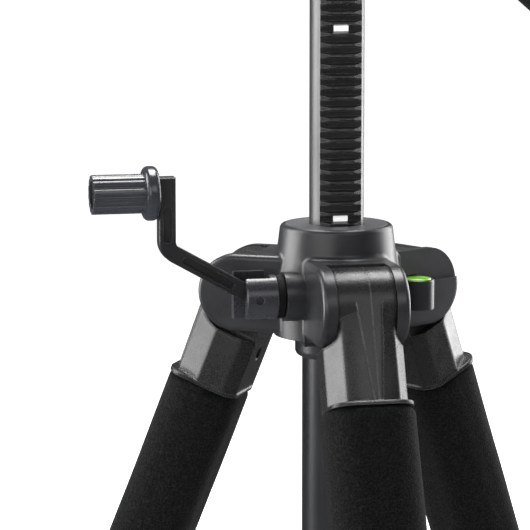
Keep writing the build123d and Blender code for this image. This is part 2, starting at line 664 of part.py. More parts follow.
LEVER_PIN_R = 2.0
LEVER_PIVOT_OUT = 4.5  # from the lock's outer face
LEVER_PIVOT_DOWN = 8.0  # from the lock's upper end
LEVER_CHEEK_R = 4.4
LEVER_EYE_R = 4.0
LEVER_HALF_WIDTH = 8.6
LEVER_CHEEK_GAP = 0.3
LEVER_CHEEK = 3.0
LEVER_THICKNESS = 3.6
STRUT_PIN_R = 1.6
STRUT_HALF_THICKNESS = 3.0
LUG_GAP = 0.3
LUG_THICKNESS = 2.6
LUG_R = 4.0

BRACE_AT = 404.0  # the strut's pin, down the leg
BRACE_RADIUS = 21.0  # strut pins from the column's axis, on the hub and when folded
BRACE_INSET = HINGE_RADIUS - BRACE_RADIUS  # the strut's pin from the leg's own axis
STRUT_SLOPE = 54.0  # below level, at rest
STRUT_GROOVE_FLOOR = 13.4  # from the leg's axis, under the strut's eye as it swings and slides
STRUT_GROOVE_BELOW = 12.2
STRUT_GROOVE_LENGTH = 22.0


def lock_body(outer, span, held, held_end, sliding):
    """A sleeve clamped on the end of one tube, with a running bore for the next and a lever pin."""
    width, depth, _ = outer
    pivot_y = -depth / 2 - LEVER_PIVOT_OUT
    pivot_at = span[0] + LEVER_PIVOT_DOWN
    with BuildPart() as lock:
        with BuildSketch(LEG.offset(-span[1])):
            leg_outline(outer)
        extrude(amount=span[1] - span[0])
        ends = lock.faces().sort_by(LEG_UP)
        fillet(ends[0].edges() + ends[-1].edges(), radius=2)
        # two cheeks on the outer side for the lever
        for side in (-1, 1):
            start = side * (LEVER_HALF_WIDTH + LEVER_CHEEK_GAP + LEVER_CHEEK / 2) - LEVER_CHEEK / 2
            with BuildSketch(LEG_SIDE.offset(start)):
                with Locations((pivot_y, -pivot_at)):
                    Circle(LEVER_CHEEK_R)
                    Rectangle(LEVER_PIVOT_OUT + 4, 2 * LEVER_CHEEK_R, align=(Align.MIN, Align.CENTER))
            extrude(amount=LEVER_CHEEK)
        with BuildSketch(LEG_SIDE.offset(-LEVER_HALF_WIDTH - 1)):
            with Locations((pivot_y, -pivot_at)):
                Circle(LEVER_PIN_R)
        extrude(amount=2 * LEVER_HALF_WIDTH + 2)
        with BuildSketch(LEG.offset(-held_end)):
            leg_outline(held)
        extrude(amount=held_end - span[0], mode=Mode.SUBTRACT)
        with BuildSketch(LEG.offset(-span[1])):
            leg_outline(sliding, SLIDE_GAP)
        extrude(amount=span[1] - span[0], mode=Mode.SUBTRACT)
    return lock.part


def lock_lever(outer, span):
    """A flip lever that lies down the outer side of its lock."""
    depth = outer[1]
    pivot_y = -depth / 2 - LEVER_PIVOT_OUT
    pivot_at = span[0] + LEVER_PIVOT_DOWN
    with BuildPart() as lever:
        with BuildSketch(LEG_SIDE.offset(-LEVER_HALF_WIDTH)):
            with Locations((pivot_y, -pivot_at)):
                Circle(LEVER_EYE_R)
            with Locations((pivot_y - LEVER_EYE_R, -pivot_at)):
                Rectangle(LEVER_THICKNESS, span[1] - pivot_at - 1, align=(Align.MIN, Align.MAX))
        extrude(amount=2 * LEVER_HALF_WIDTH)
        tip = lever.edges().filter_by(LEG_INWARD).group_by(LEG_UP)[0]
        fillet(tip, radius=5)
        with BuildSketch(LEG_SIDE.offset(-LEVER_HALF_WIDTH)):
            with Locations((pivot_y, -pivot_at)):
                Circle(LEVER_PIN_R + 0.05)
        extrude(amount=2 * LEVER_HALF_WIDTH, mode=Mode.SUBTRACT)
        # grip grooves across the free end
        with BuildSketch(LEG_SIDE.offset(-LEVER_HALF_WIDTH)):
            for step in range(4):
                with Locations((pivot_y - LEVER_EYE_R, 5 + 2.6 * step - span[1])):
                    Circle(0.7)
        extrude(amount=2 * LEVER_HALF_WIDTH, mode=Mode.SUBTRACT)
    return lever.part


UPPER_LOCK_OUTER = (37.0, 34.0, 11.0)
LOWER_LOCK_OUTER = (33.0, 30.0, 10.0)

plain_upper_lock = lock_body(
    UPPER_LOCK_OUTER, UPPER_LOCK, UPPER_TUBE, UPPER_TUBE_END, MIDDLE_TUBE
)

with BuildPart() as upper_lock:
    add(plain_upper_lock)
    # groove and two cheeks on the inner side for the brace strut
    with BuildSketch(LEG_SIDE.offset(-STRUT_HALF_THICKNESS - LUG_GAP)):
        with Locations((STRUT_GROOVE_FLOOR, -BRACE_AT - STRUT_GROOVE_BELOW)):
            Rectangle(BRACE_INSET, STRUT_GROOVE_LENGTH, align=Align.MIN)
    extrude(amount=2 * (STRUT_HALF_THICKNESS + LUG_GAP), mode=Mode.SUBTRACT)
    for side in (-1, 1):
        start = side * (STRUT_HALF_THICKNESS + LUG_GAP + LUG_THICKNESS / 2) - LUG_THICKNESS / 2
        with BuildSketch(LEG_SIDE.offset(start)):
            with Locations((BRACE_INSET, -BRACE_AT)):
                Circle(LUG_R)
                Rectangle(BRACE_INSET - 15, 2 * LUG_R, align=(Align.MAX, Align.CENTER))
        extrude(amount=LUG_THICKNESS)
    with BuildSketch(LEG_SIDE.offset(-STRUT_HALF_THICKNESS - 1)):
        with Locations((BRACE_INSET, -BRACE_AT)):
            Circle(STRUT_PIN_R)
    extrude(amount=2 * STRUT_HALF_THICKNESS + 2)
save_for_each_leg(upper_lock.part, "upper_lock")
save_for_each_leg(lock_lever(UPPER_LOCK_OUTER, UPPER_LOCK), "upper_lever")

lower_lock = lock_body(
    LOWER_LOCK_OUTER, LOWER_LOCK, MIDDLE_TUBE, MIDDLE_TUBE_SPAN[1], LOWER_TUBE
)
save_for_each_leg(lower_lock, "lower_lock")
save_for_each_leg(lock_lever(LOWER_LOCK_OUTER, LOWER_LOCK), "lower_lever")

# --- Brace --------------------------------------------------------------------------------------

HUB_SLEEVE_R = 17.2
HUB_HALF_HEIGHT = 9.0
HUB_LUG_R = 3.0
HUB_PIN_R = 1.5
STRUT_HALF_WIDTH = 3.1
STRUT_SLIDE = 5.5  # how far the leg's pin travels along the strut's slot as a leg folds
STRUT_EYE_HALF = 5.0
STRUT_SLOT_HALF = 3.15

spread = radians(SPREAD)
brace_pin_radius = HINGE_RADIUS + BRACE_AT * sin(spread) - BRACE_INSET * cos(spread)
brace_pin_z = HINGE_Z - BRACE_AT * cos(spread) - BRACE_INSET * sin(spread)
STRUT_LENGTH = (brace_pin_radius - BRACE_RADIUS) / cos(radians(STRUT_SLOPE))
BRACE_HUB_Z = brace_pin_z + STRUT_LENGTH * sin(radians(STRUT_SLOPE))
BRACE_HUB_RISE = HINGE_Z - BRACE_AT + STRUT_LENGTH - BRACE_HUB_Z

HUB_SIDE = Plane((0, -BRACE_RADIUS, BRACE_HUB_Z), x_dir=(0, 1, 0), z_dir=(1, 0, 0))
STRUT_SIDE = Plane(
    origin=HUB_SIDE.origin,
    x_dir=(0, cos(radians(STRUT_SLOPE)), sin(radians(STRUT_SLOPE))),
    z_dir=(1, 0, 0),
)  # the strut runs along -x, down and out from the hub

with BuildPart() as hub_lug:
    for side in (-1, 1):
        start = side * (STRUT_HALF_THICKNESS + LUG_GAP + LUG_THICKNESS / 2) - LUG_THICKNESS / 2
        with BuildSketch(HUB_SIDE.offset(start)):
            Circle(HUB_LUG_R)
            Rectangle(BRACE_RADIUS - HUB_SLEEVE_R + 1, 2 * HUB_LUG_R, align=(Align.MIN, Align.CENTER))
        extrude(amount=LUG_THICKNESS)
    with BuildSketch(HUB_SIDE.offset(-STRUT_HALF_THICKNESS - 1)):
        Circle(HUB_PIN_R)
    extrude(amount=2 * STRUT_HALF_THICKNESS + 2)

with BuildPart() as brace_hub:
    with BuildSketch(Plane.XY.offset(BRACE_HUB_Z - HUB_HALF_HEIGHT)):
        Circle(HUB_SLEEVE_R)
    extrude(amount=2 * HUB_HALF_HEIGHT)
    chamfer(brace_hub.edges().filter_by(GeomType.CIRCLE), length=0.6)
    for azimuth in LEG_AZIMUTHS.values():
        add(hub_lug.part.rotate(Axis.Z, azimuth))
    with BuildSketch(Plane.XY.offset(BRACE_HUB_Z - HUB_HALF_HEIGHT)):
        Circle(TUBE_R + 0.08)
    extrude(amount=2 * HUB_HALF_HEIGHT, mode=Mode.SUBTRACT)
save(brace_hub.part, "brace_hub")

with BuildPart() as strut:
    with BuildSketch(STRUT_SIDE.offset(-STRUT_HALF_THICKNESS)):
        Circle(STRUT_HALF_WIDTH)
        Rectangle(STRUT_LENGTH - 10, 2 * STRUT_HALF_WIDTH, align=(Align.MAX, Align.CENTER))
        with Locations((-STRUT_LENGTH + STRUT_SLIDE / 2, 0)):
            SlotCenterToCenter(STRUT_SLIDE + 1, 2 * STRUT_EYE_HALF)
    extrude(amount=2 * STRUT_HALF_THICKNESS)
    # lightening channel down both faces
    for start in (-STRUT_HALF_THICKNESS, STRUT_HALF_THICKNESS - 1.8):
        with BuildSketch(STRUT_SIDE.offset(start)):
            with Locations((-STRUT_LENGTH / 2, 0)):
                SlotOverall(STRUT_LENGTH - 40, 2 * STRUT_HALF_WIDTH - 2.6)
        extrude(amount=1.8, mode=Mode.SUBTRACT)
    with BuildSketch(STRUT_SIDE.offset(-STRUT_HALF_THICKNESS)):
        Circle(HUB_PIN_R + 0.05)
        with Locations((-STRUT_LENGTH + STRUT_SLIDE / 2, 0)):
            SlotCenterToCenter(STRUT_SLIDE, 2 * STRUT_SLOT_HALF)
    extrude(amount=2 * STRUT_HALF_THICKNESS, mode=Mode.SUBTRACT)
save_for_each_leg(strut.part, "strut")

# --- Head ---------------------------------------------------------------------------------------

PAN_Z = COLUMN_TOP_Z + HEAD_BASE_HEIGHT
PAN_R = 22.0
PAN_DISC_HEIGHT = 12.0
SPINDLE_R = 8.0
CHEEK_INNER = 13.3
CHEEK_OUTER = 20.5
CHEEK_R = 15.0
TILT_AXLE_R = 5.0
PAN_KNOB_Z = PAN_Z + PAN_DISC_HEIGHT / 2
PAN_SCREW_R = 2.5
PLATFORM_BASE = 15.8  # above the tilt axis
PLATE_THICKNESS = 9.0
DOVETAIL_DEPTH = 5.0
PLATE_WIDTH = 44.0
PLATE_LENGTH = 42.0
STUD_R = 3.175
STUD_NECK_R = 2.9
STUD_LENGTH = 6.0
SCREW_HEAD_R = 7.4
SCREW_HEAD_HEIGHT = 2.8
SCREW_RECESS = 3.0
SEAT_RELIEF_R = 9.0  # the plate is set back a little round the stud
SOCKET_INNER = 21.0
SOCKET_OUTER = 34.0
SOCKET_R = 12.0
RELEASE_PIVOT = (29.5, -10.0)
RELEASE_PIN_R = 2.0
RELEASE_EAR_HEIGHT = 4.0
HANDLE_SLOPE = 40.6  # below level
HANDLE_Y = (SOCKET_INNER + SOCKET_OUTER) / 2
ROD_R = 4.5
GRIP_R = 12.5

with BuildPart() as yoke_cheek:
    with BuildSketch(Plane.XZ.offset(CHEEK_INNER)):
        with Locations((0, TILT_Z)):
            Circle(CHEEK_R)
            Rectangle(2 * CHEEK_R, TILT_Z - PAN_Z - 4, align=(Align.CENTER, Align.MAX))
    extrude(amount=CHEEK_OUTER - CHEEK_INNER)
    fillet(yoke_cheek.faces().sort_by(Axis.Y)[0].edges(), radius=1.5)

with BuildPart() as pan_body:
    with BuildSketch(Plane.XY.offset(PAN_Z)):
        Circle(PAN_R)
    extrude(amount=PAN_DISC_HEIGHT)
    chamfer(pan_body.edges().filter_by(GeomType.CIRCLE), length=0.8)
    add(yoke_cheek.part)
    add(yoke_cheek.part.mirror(Plane.XZ))
    # boss for the pan lock
    with BuildSketch(along_x(-PAN_R - 3, y=0, z=PAN_KNOB_Z)):
        Circle(5.8)
    extrude(amount=8)
    with BuildSketch(Plane.XY.offset(PAN_Z)):
        Circle(SPINDLE_R + 0.06)
    extrude(amount=8, mode=Mode.SUBTRACT)
    with BuildSketch(along_x(-PAN_R - 3, y=0, z=PAN_KNOB_Z)):
        Circle(PAN_SCREW_R + 0.05)
    extrude(amount=PAN_R - SPINDLE_R + 2, mode=Mode.SUBTRACT)
    with BuildSketch(Plane.XZ.offset(-CHEEK_OUTER)):
        with Locations((0, TILT_Z)):
            Circle(TILT_AXLE_R + 0.05)
    extrude(amount=2 * CHEEK_OUTER, mode=Mode.SUBTRACT)
save(pan_body.part, "pan_body")

with BuildPart() as pan_knob:
    with BuildSketch(along_x(-PAN_R - 15, y=0, z=PAN_KNOB_Z)):
        Circle(9)
        with PolarLocations(10, 8):
            Circle(3, mode=Mode.SUBTRACT)
    extrude(amount=11.8)
    fillet(pan_knob.faces().sort_by(Axis.X)[0].edges(), radius=0.8)
    with BuildSketch(along_x(-PAN_R - 4, y=0, z=PAN_KNOB_Z)):
        Circle(PAN_SCREW_R)
    extrude(amount=16)
save(pan_knob.part, "pan_knob")

with BuildPart() as tilt_body:
    with BuildSketch(Plane.XZ.offset(-BARREL_HALF_WIDTH)):
        with Locations((0, TILT_Z)):
            Circle(13)
            Rectangle(24, PLATFORM_BASE + 1, align=(Align.CENTER, Align.MIN))
    extrude(amount=2 * BARREL_HALF_WIDTH)
    with BuildSketch(Plane.XY.offset(TILT_Z + PLATFORM_BASE)):
        RectangleRounded(50, 46, 5)
    extrude(amount=PLATE_ABOVE_TILT - PLATFORM_BASE - PLATE_THICKNESS)
    chamfer(tilt_body.faces().sort_by(Axis.Z)[-1].edges(), length=0.5)
    for side in (-1, 1):
        with BuildSketch(Plane.XZ.offset(-19)):
            Polygon(
                (side * 25, -PLATE_THICKNESS - 1),
                (side * 25, -PLATE_THICKNESS + DOVETAIL_DEPTH - 0.6),
                (side * 18.84, -PLATE_THICKNESS + DOVETAIL_DEPTH - 0.6),
                (side * 20.6, -PLATE_THICKNESS),
                (side * 20.6, -PLATE_THICKNESS - 1),
                align=None,
            )
        extrude(amount=38)
    # ear for the release lever
    with BuildSketch(Plane.XY.offset(TILT_Z + PLATFORM_BASE)):
        with Locations(RELEASE_PIVOT):
            Rectangle(5.5, 11, align=(Align.MAX, Align.CENTER))
            Circle(5.5)
    extrude(amount=RELEASE_EAR_HEIGHT)
    with BuildSketch(Plane.XY.offset(TILT_Z + PLATFORM_BASE)):
        with Locations(RELEASE_PIVOT):
            Circle(RELEASE_PIN_R + 0.05)
    extrude(amount=RELEASE_EAR_HEIGHT, mode=Mode.SUBTRACT)
    with BuildSketch(Plane.XZ.offset(-BARREL_HALF_WIDTH)):
        with Locations((0, TILT_Z)):
            Circle(TILT_AXLE_R)
    extrude(amount=2 * BARREL_HALF_WIDTH, mode=Mode.SUBTRACT)
save(tilt_body.part, "tilt_body")

RELEASE_Z = TILT_Z + PLATFORM_BASE + RELEASE_EAR_HEIGHT + 0.1

with BuildPart() as release_lever:
    with BuildSketch(Plane.XY.offset(RELEASE_Z)):
        with Locations(RELEASE_PIVOT):
            Circle(4)
            with Locations((-3.3, 0)):
                Rectangle(6.6, 27, align=Align.MIN)
    extrude(amount=4.5)
    fillet(release_lever.edges().filter_by(Axis.Z).group_by(Axis.Y)[-1], radius=3)
    fillet(release_lever.faces().sort_by(Axis.Z)[-1].edges(), radius=0.8)
    with BuildSketch(Plane.XY.offset(RELEASE_Z)):
        with Locations(RELEASE_PIVOT):
            Circle(RELEASE_PIN_R)
    extrude(amount=-RELEASE_EAR_HEIGHT)
save(release_lever.part, "release_lever")

with BuildPart() as quick_plate:
    with BuildSketch(Plane.XZ.offset(-19)):
        Polygon(
            (-20.4, -PLATE_THICKNESS),
            (-18.4, DOVETAIL_DEPTH - PLATE_THICKNESS),
            (18.4, DOVETAIL_DEPTH - PLATE_THICKNESS),
            (20.4, -PLATE_THICKNESS),
            align=None,
        )
    extrude(amount=38)
    with BuildSketch(Plane.XY.offset(DOVETAIL_DEPTH - PLATE_THICKNESS)):
        RectangleRounded(PLATE_WIDTH, PLATE_LENGTH, 4)
    extrude(amount=PLATE_THICKNESS - DOVETAIL_DEPTH)
    # anti-slip grooves and the screw's counterbore
    with BuildSketch(Plane.XY):
        for row in (-17, -14, -11, 11, 14, 17):
            with Locations((0, row)):
                Rectangle(PLATE_WIDTH - 8, 1)
    extrude(amount=-0.8, mode=Mode.SUBTRACT)
    with BuildSketch(Plane.XY):
        Circle(SEAT_RELIEF_R)
    extrude(amount=-0.6, mode=Mode.SUBTRACT)
    with BuildSketch(Plane.XY.offset(-PLATE_THICKNESS)):
        Circle(SCREW_HEAD_R + 0.6)
    extrude(amount=SCREW_RECESS, mode=Mode.SUBTRACT)
    with BuildSketch(Plane.XY.offset(-PLATE_THICKNESS)):
        Circle(STUD_R)
    extrude(amount=PLATE_THICKNESS, mode=Mode.SUBTRACT)
save(quick_plate.part, "quick_plate")

with BuildPart() as plate_screw:
    with BuildSketch(Plane.XY.offset(SCREW_RECESS - PLATE_THICKNESS)):
        Circle(SCREW_HEAD_R)
    extrude(amount=-SCREW_HEAD_HEIGHT)
    with BuildSketch(Plane.XY.offset(SCREW_RECESS - PLATE_THICKNESS)):
        Circle(STUD_NECK_R)
    extrude(amount=PLATE_THICKNESS - SCREW_RECESS)
    with BuildSketch(Plane.XY):
        Circle(STUD_R)
    extrude(amount=STUD_LENGTH)
    chamfer(plate_screw.edges().group_by(Axis.Z)[-1], length=0.5)
    with BuildSketch(Plane.XY.offset(SCREW_RECESS - SCREW_HEAD_HEIGHT - PLATE_THICKNESS)):
        Rectangle(10, 1.4)
    extrude(amount=1.5, mode=Mode.SUBTRACT)
save(plate_screw.part, "plate_screw")

handle_slope = radians(HANDLE_SLOPE)
HANDLE = Plane(
    origin=(0, HANDLE_Y, TILT_Z),
    x_dir=(0, 1, 0),
    z_dir=(cos(handle_slope), 0, -sin(handle_slope)),
)
SOCKET_END = 26.0
ROD_START = 9.0
ROD_END = 200.0
GRIP_SPAN = (102.0, 214.0)

with BuildPart() as handle_socket:
    with BuildSketch(Plane.XZ.offset(-SOCKET_OUTER)):
        with Locations((0, TILT_Z)):
            Circle(SOCKET_R)
    extrude(amount=SOCKET_OUTER - SOCKET_INNER)
    fillet(handle_socket.edges().filter_by(GeomType.CIRCLE), radius=1)
    with BuildSketch(HANDLE):
        Circle(7)
    extrude(amount=SOCKET_END)
    with BuildSketch(Plane.XZ.offset(-SOCKET_INNER - 1)):
        with Locations((0, TILT_Z)):
            Circle(TILT_AXLE_R)
    extrude(amount=SOCKET_INNER + 1 + CHEEK_OUTER)
    with BuildSketch(HANDLE.offset(ROD_START)):
        Circle(ROD_R + 0.05)
    extrude(amount=SOCKET_END - ROD_START, mode=Mode.SUBTRACT)
save(handle_socket.part, "handle_socket")

with BuildPart() as handle_rod:
    with BuildSketch(HANDLE.offset(ROD_START)):
        Circle(ROD_R)
    extrude(amount=ROD_END - ROD_START)
save(handle_rod.part, "handle_rod")

with BuildPart() as handle_grip:
    with BuildSketch(HANDLE.offset(GRIP_SPAN[0])):
        Circle(GRIP_R)
    extrude(amount=GRIP_SPAN[1] - GRIP_SPAN[0])
    fillet(handle_grip.edges().filter_by(GeomType.CIRCLE), radius=3)
    with BuildSketch(HANDLE.offset(GRIP_SPAN[0])):
        Circle(ROD_R)
    extrude(amount=ROD_END - GRIP_SPAN[0], mode=Mode.SUBTRACT)
save(handle_grip.part, "handle_grip")

print(f"hinge z {HINGE_Z:.2f}, floor z {FLOOR_Z:.2f}, brace hub z {BRACE_HUB_Z:.2f}")
print(f"strut length {STRUT_LENGTH:.2f}, hub rise on folding {BRACE_HUB_RISE:.2f}")
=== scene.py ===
"""Looks of the scope tripod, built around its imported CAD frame."""

import json
import math

import bmesh
import bpy
from mathutils import Matrix, Vector


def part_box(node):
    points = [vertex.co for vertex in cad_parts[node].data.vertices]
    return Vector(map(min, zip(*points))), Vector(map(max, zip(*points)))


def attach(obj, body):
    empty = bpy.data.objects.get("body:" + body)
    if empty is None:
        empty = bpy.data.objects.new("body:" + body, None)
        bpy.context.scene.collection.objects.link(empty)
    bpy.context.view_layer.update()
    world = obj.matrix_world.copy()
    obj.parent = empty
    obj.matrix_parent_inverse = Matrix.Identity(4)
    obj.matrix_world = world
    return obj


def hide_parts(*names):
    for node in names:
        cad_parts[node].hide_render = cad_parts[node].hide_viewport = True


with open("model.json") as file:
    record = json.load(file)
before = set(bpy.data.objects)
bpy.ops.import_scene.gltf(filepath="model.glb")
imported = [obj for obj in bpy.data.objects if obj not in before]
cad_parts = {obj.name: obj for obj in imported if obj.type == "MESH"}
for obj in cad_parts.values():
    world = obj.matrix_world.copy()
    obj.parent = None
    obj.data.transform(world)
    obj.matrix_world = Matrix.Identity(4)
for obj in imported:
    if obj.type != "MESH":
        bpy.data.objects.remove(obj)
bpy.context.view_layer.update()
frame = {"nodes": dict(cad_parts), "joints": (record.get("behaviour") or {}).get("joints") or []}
nodes = frame["nodes"]
scene = bpy.context.scene

# --- Places, from the frame --------------------------------------------------------------------

joints = {j["name"]: j for j in frame["joints"]}
HINGE_Z = joints["leg_1_spread"]["pos_m"][2]
TOOTH_PITCH = 0.0015 * math.pi
LEG_TURN = {1: 0.0, 2: 120.0, 3: 240.0}  # degrees about +Z from leg 1
SPREAD = math.radians(21.5)
FLOOR_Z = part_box("leg_1_foot")[0].z


def leg_matrix(turn):
    """Places a piece drawn beside a leg: x along the hinge, y inwards, z up the leg."""
    hinge = Vector(joints["leg_1_spread"]["pos_m"])
    lean = Matrix.Rotation(-SPREAD, 4, "X")
    return Matrix.Rotation(math.radians(turn), 4, "Z") @ Matrix.Translation(hinge) @ lean


# --- Materials ---------------------------------------------------------------------------------


class Nodes:
    """A material's node tree with short calls for the nodes used here."""

    def __init__(self, name):
        self.material = bpy.data.materials.new(name)
        self.material.use_nodes = True
        self.tree = self.material.node_tree
        self.shader = self.tree.nodes["Principled BSDF"]
        self.place = self.add("ShaderNodeTexCoord").outputs["Object"]

    def add(self, kind, **settings):
        node = self.tree.nodes.new(kind)
        for key, value in settings.items():
            setattr(node, key, value)
        return node

    def link(self, output, socket):
        if isinstance(output, (int, float, tuple, list)):
            socket.default_value = output
        else:
            self.tree.links.new(output, socket)

    def stretched(self, scale, turn=(0, 0, 0)):
        """Object coordinates, turned and then scaled along each axis."""
        turned = self.add("ShaderNodeMapping")
        turned.inputs["Rotation"].default_value = turn
        self.link(self.place, turned.inputs["Vector"])
        scaled = self.add("ShaderNodeMapping")
        scaled.inputs["Scale"].default_value = scale
        self.link(turned.outputs["Vector"], scaled.inputs["Vector"])
        return scaled.outputs["Vector"]

    def noise(self, scale, detail=3.0, rough=0.55, vector=None):
        node = self.add("ShaderNodeTexNoise")
        node.inputs["Scale"].default_value = scale
        node.inputs["Detail"].default_value = detail
        node.inputs["Roughness"].default_value = rough
        self.link(vector or self.place, node.inputs["Vector"])
        return node.outputs["Fac"]

    def cells(self, scale, vector=None):
        node = self.add("ShaderNodeTexVoronoi")
        node.inputs["Scale"].default_value = scale
        self.link(vector or self.place, node.inputs["Vector"])
        return node.outputs["Distance"]

    def ramp(self, value, start, end, low=0.0, high=1.0):
        node = self.add("ShaderNodeMapRange")
        node.clamp = True
        for key, number in (("From Min", start), ("From Max", end), ("To Min", low), ("To Max", high)):
            node.inputs[key].default_value = number
        self.link(value, node.inputs["Value"])
        return node.outputs["Result"]

    def math(self, operation, a, b=0.0):
        node = self.add("ShaderNodeMath", operation=operation)
        self.link(a, node.inputs[0])
        self.link(b, node.inputs[1])
        return node.outputs[0]

    def mix(self, share, a, b):
        node = self.add("ShaderNodeMix", data_type="RGBA")
        self.link(share, node.inputs["Factor"])
        for socket, color in ((node.inputs[6], a), (node.inputs[7], b)):
            self.link((*color, 1.0) if isinstance(color, (tuple, list)) else color, socket)
        return node.outputs[2]

    def edges(self, radius=0.0007):
        """1 on edges, where the rounded normal leaves the face's own, and 0 on plain faces."""
        rounded = self.add("ShaderNodeBevel", samples=4)
        rounded.inputs["Radius"].default_value = radius
        plain = self.add("ShaderNodeNewGeometry")
        dot = self.add("ShaderNodeVectorMath", operation="DOT_PRODUCT")
        self.link(rounded.outputs["Normal"], dot.inputs[0])
        self.link(plain.outputs["Normal"], dot.inputs[1])
        return self.ramp(dot.outputs["Value"], 0.985, 0.8)

    def bump(self, height, distance, strength=1.0, soften=0.0, under=None):
        node = self.add("ShaderNodeBump")
        node.inputs["Distance"].default_value = distance
        node.inputs["Strength"].default_value = strength
        self.link(height, node.inputs["Height"])
        if under is not None:
            self.link(under, node.inputs["Normal"])
        elif soften:
            rounded = self.add("ShaderNodeBevel", samples=4)
            rounded.inputs["Radius"].default_value = soften
            self.link(rounded.outputs["Normal"], node.inputs["Normal"])
        return node.outputs["Normal"]


def moulded(name, color, rough=0.42, grain=1500.0, depth=0.000025, wear_and_highlight=(0.2, 0.2, 0.2), soften=0.0004,
            wear_and_highlight_share=0.35, mottle=0.25):
    """Textured moulded plastic or powder paint: fine grain, uneven sheen, paler edges that are partly rubbed
    wear and partly a painted highlight.
    """
    n = Nodes(name)
    broad = n.noise(38, 4)
    fine = n.noise(grain, 2, 0.6)
    patch = n.noise(260, 3)
    dark = tuple(c * (1 - mottle) for c in color)
    light = tuple(c * (1 + mottle) for c in color)
    both = n.math("ADD", n.math("MULTIPLY", broad, 0.6), n.math("MULTIPLY", fine, 0.4))
    base = n.mix(n.ramp(both, 0.38, 0.62), dark, light)
    # Edges are painted paler: partly rubbed wear, partly a painted highlight along every edge.
    rubbed_and_highlit = n.math("MULTIPLY", n.edges(), n.ramp(patch, 0.42, 0.68, 0.15, 1.0))
    n.link(n.mix(n.math("MULTIPLY", rubbed_and_highlit, wear_and_highlight_share), base, wear_and_highlight), n.shader.inputs["Base Color"])
    slow = n.ramp(broad, 0.3, 0.7, rough - 0.05, rough + 0.06)
    sheen = n.math("ADD", slow, n.ramp(fine, 0.3, 0.7, -0.04, 0.05))
    n.link(n.math("SUBTRACT", sheen, n.math("MULTIPLY", rubbed_and_highlit, 0.1)), n.shader.inputs["Roughness"])
    n.link(n.bump(fine, depth, 1.0, soften), n.shader.inputs["Normal"])
    return n


def metallic_paint(name, color, rough=0.38, metallic=0.55, grain=1700.0):
    """Silver-grey paint with fine flakes over a cast surface."""
    n = Nodes(name)
    flake = n.noise(grain, 1.5, 0.7)
    patch = n.noise(60, 4)
    dark = tuple(c * 0.72 for c in color)
    light = tuple(min(1.0, c * 1.35) for c in color)
    base = n.mix(n.ramp(flake, 0.35, 0.65), dark, light)
    # Edges are painted toward a pale grey: partly rubbed wear, partly a painted highlight.
    rubbed_and_highlit = n.math("MULTIPLY", n.edges(), n.ramp(patch, 0.35, 0.7, 0.2, 1.0))
    n.link(n.mix(n.math("MULTIPLY", rubbed_and_highlit, 0.5), base, (0.45, 0.45, 0.44)), n.shader.inputs["Base Color"])
    slow = n.ramp(patch, 0.3, 0.7, rough - 0.05, rough + 0.06)
    n.link(n.math("ADD", slow, n.ramp(flake, 0.3, 0.7, -0.05, 0.07)), n.shader.inputs["Roughness"])
    n.shader.inputs["Metallic"].default_value = metallic
    n.link(n.bump(flake, 0.00005, 1.0, 0.0022), n.shader.inputs["Normal"])
    return n


def drawn_metal(name, color, rough=0.36, metallic=0.8, turn=(0, 0, 0), lines=2600.0):
    """Anodised drawn tube: long fine lines along its length, small speckle, paler edges that are partly
    rubbed wear and partly a painted highlight.
    """
    n = Nodes(name)
    along = n.noise(1.0, 3, 0.6, n.stretched((lines, lines, 26.0), turn))
    speck = n.noise(1900, 1.5, 0.6)
    broad = n.noise(22, 3)
    both = n.math("ADD", n.math("MULTIPLY", along, 0.55), n.math("MULTIPLY", speck, 0.45))
    dark = tuple(c * 0.7 for c in color)
    light = tuple(min(1.0, c * 1.3) for c in color)
    base = n.mix(n.ramp(both, 0.36, 0.64), dark, light)
    # Edges are painted toward a pale grey: partly rubbed wear, partly a painted highlight.
    rubbed_and_highlit = n.math("MULTIPLY", n.edges(), n.ramp(broad, 0.35, 0.7, 0.3, 1.0))
    n.link(n.mix(n.math("MULTIPLY", rubbed_and_highlit, 0.4), base, (0.5, 0.5, 0.5)), n.shader.inputs["Base Color"])
    slow = n.ramp(broad, 0.3, 0.7, rough - 0.05, rough + 0.05)
    n.link(n.math("ADD", slow, n.ramp(both, 0.35, 0.65, -0.06, 0.06)), n.shader.inputs["Roughness"])
    n.shader.inputs["Metallic"].default_value = metallic
    n.link(n.bump(both, 0.00003, 1.0, 0.0003), n.shader.inputs["Normal"])
    return n


def foam_material(name):
    """Closed-cell foam: a dull black skin full of fine open pores, with faint dusty fibres."""
    n = Nodes(name)
    pores = n.cells(1250)
    crumb = n.noise(900, 3, 0.65)
    broad = n.noise(45, 4)
    spots = n.noise(520, 2)
    grain = n.math("ADD", n.math("MULTIPLY", pores, 0.6), n.math("MULTIPLY", crumb, 0.7))
    base = n.mix(n.ramp(grain, 0.42, 0.85), (0.0012, 0.0013, 0.0013), (0.0075, 0.0082, 0.008))
    dusty = n.math("MULTIPLY", n.ramp(spots, 0.6, 0.74), n.ramp(broad, 0.4, 0.7, 0.2, 1.0))
    n.link(n.mix(n.math("MULTIPLY", dusty, 0.3), base, (0.035, 0.037, 0.036)), n.shader.inputs["Base Color"])
    n.link(n.ramp(grain, 0.4, 0.9, 0.95, 0.78), n.shader.inputs["Roughness"])
    n.shader.inputs["Specular IOR Level"].default_value = 0.08
    n.shader.inputs["Sheen Weight"].default_value = 0.012
    n.shader.inputs["Sheen Roughness"].default_value = 0.4
    n.link(n.bump(grain, 0.00035, 0.9, under=n.bump(broad, 0.0006, 0.6)), n.shader.inputs["Normal"])
    return n


